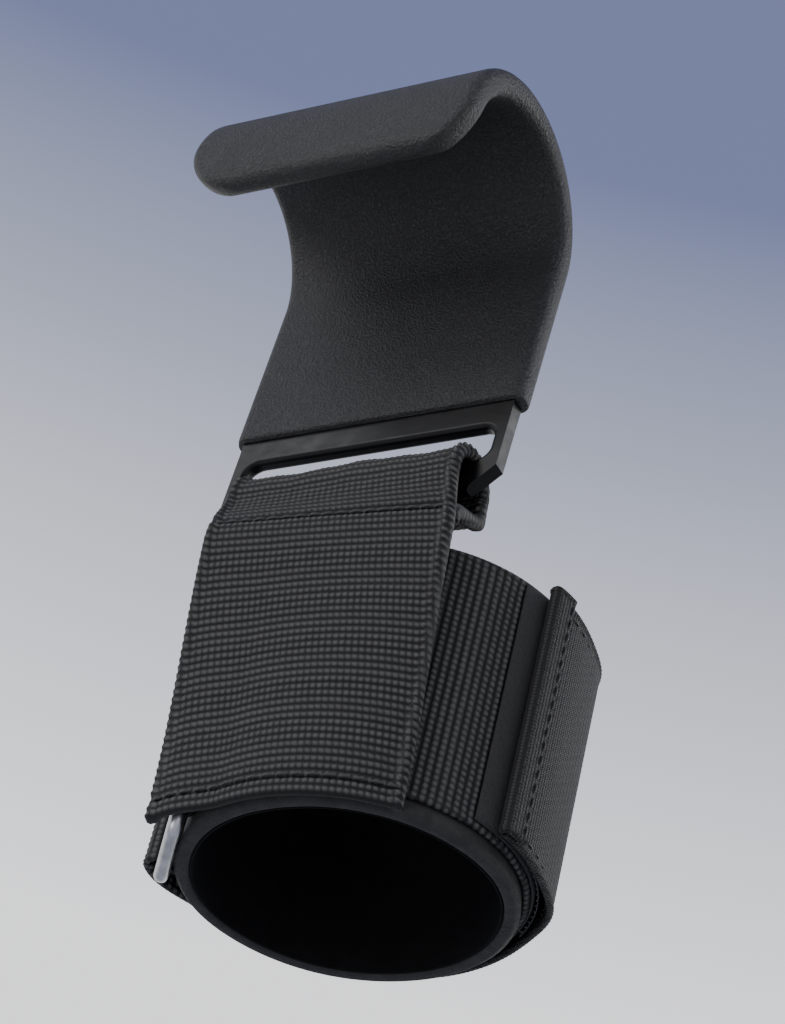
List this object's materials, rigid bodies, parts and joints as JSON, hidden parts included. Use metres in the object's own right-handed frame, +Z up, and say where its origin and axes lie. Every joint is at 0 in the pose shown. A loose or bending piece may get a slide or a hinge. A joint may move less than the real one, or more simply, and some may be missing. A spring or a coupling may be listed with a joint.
{
  "type": "weight lifting hook",
  "caption": "Bent steel lifting hook in a rubber grip sleeve, slotted for a webbing load strap on a padded wrist cuff with a cinch ring and a hook-and-loop flap.",
  "frame": {"origin": "centre of the hook's curve, on the axis of the bar that it sits on", "axes": "+X along the bar, +Y to the back where the plate drops from the curve, +Z up"},
  "size_m": [0.0799, 0.1011, 0.1656],
  "materials": {
    "black_paint": "smooth satin black paint over steel",
    "grip_rubber": "matte fine-grained rubber",
    "webbing": "coarse ribbed webbing",
    "neoprene": "matte closed-cell foam",
    "lining": "smooth knit lining",
    "loop_tape": "fuzzy loop tape",
    "hook_tape": "hook tape with small teeth",
    "ring_steel": "satin steel wire",
    "thread": "twisted polyester thread"
  },
  "bodies": {
    "hook": {"hook_plate": "black_paint", "grip_sleeve": "grip_rubber"},
    "cuff": {"load_strap": "webbing", "foam_pad": "neoprene", "inner_lining": "lining", "wrap_strap": "webbing", "loop_tape": "loop_tape", "ring_keeper": "webbing", "loop_stitches": "thread", "panel_stitches": "thread"},
    "ring": {"cinch_ring": "ring_steel"},
    "flap": {"flap_webbing": "webbing", "hook_tape": "hook_tape", "pull_hem": "webbing", "hem_stitches": "thread", "flap_top_stitches": "thread", "flap_bottom_stitches": "thread"}
  },
  "joints": [
    {"name": "strap_swing", "type": "hinge", "parent": "hook", "child": "cuff", "pos_m": [0, 0.018, -0.0612], "axis": [1, 0, 0], "range_deg": [-55, 55]},
    {"name": "ring_swing", "type": "hinge", "parent": "cuff", "child": "ring", "pos_m": [-0.01942, 0.01628, -0.1075], "axis": [0, 0, 1], "range_deg": [0, 2]},
    {"name": "flap_peel", "type": "hinge", "parent": "cuff", "child": "flap", "pos_m": [0.02006, 0.07239, -0.1075], "axis": [0, 0, 1], "range_deg": [0, 100]}
  ]
}
